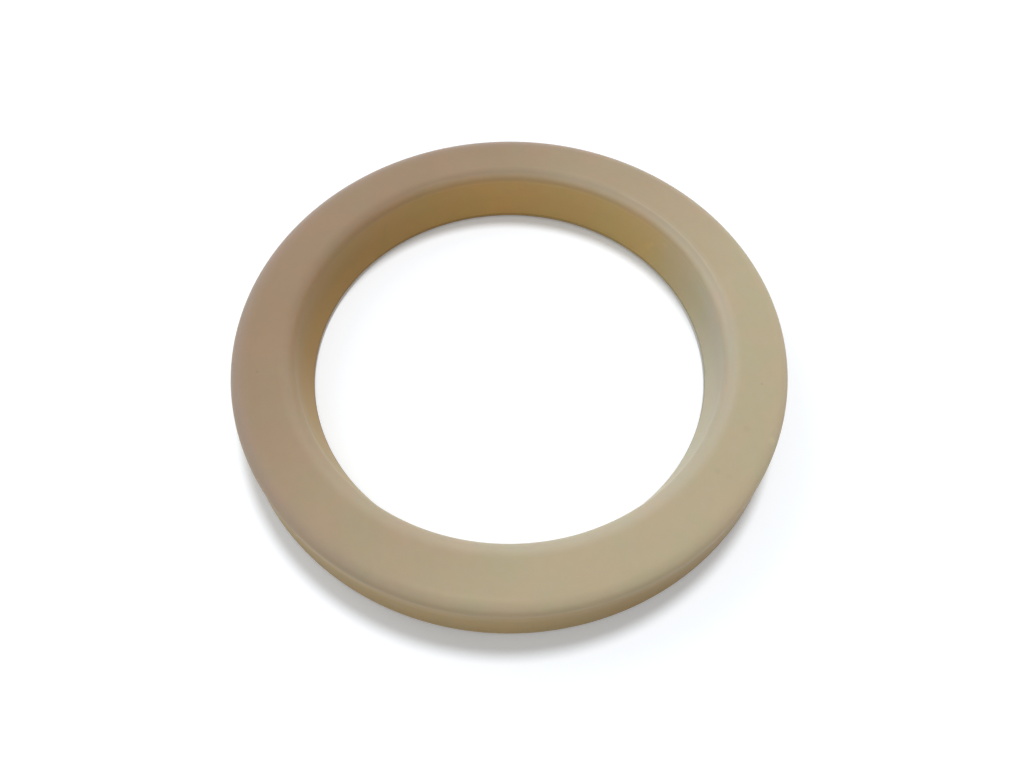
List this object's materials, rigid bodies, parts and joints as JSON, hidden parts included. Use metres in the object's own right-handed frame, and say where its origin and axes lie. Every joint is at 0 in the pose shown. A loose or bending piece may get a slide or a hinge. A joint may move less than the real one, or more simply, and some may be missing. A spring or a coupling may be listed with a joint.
{
  "type": "u cup seal",
  "caption": "One-piece polyurethane U-cup rod seal: a flat closed heel with rounded corners and two flared lips either side of a round-bottomed groove.",
  "frame": {"origin": "on the ring's axis, in the plane of the two lip tips that it rests on", "axes": "+Z along the ring's axis, from the lips towards the closed heel; the ring is round about Z"},
  "size_m": [0.0916, 0.0916, 0.01],
  "materials": {
    "polyurethane": "satin"
  },
  "bodies": {
    "root": {"u_cup_seal": "polyurethane"}
  },
  "joints": []
}
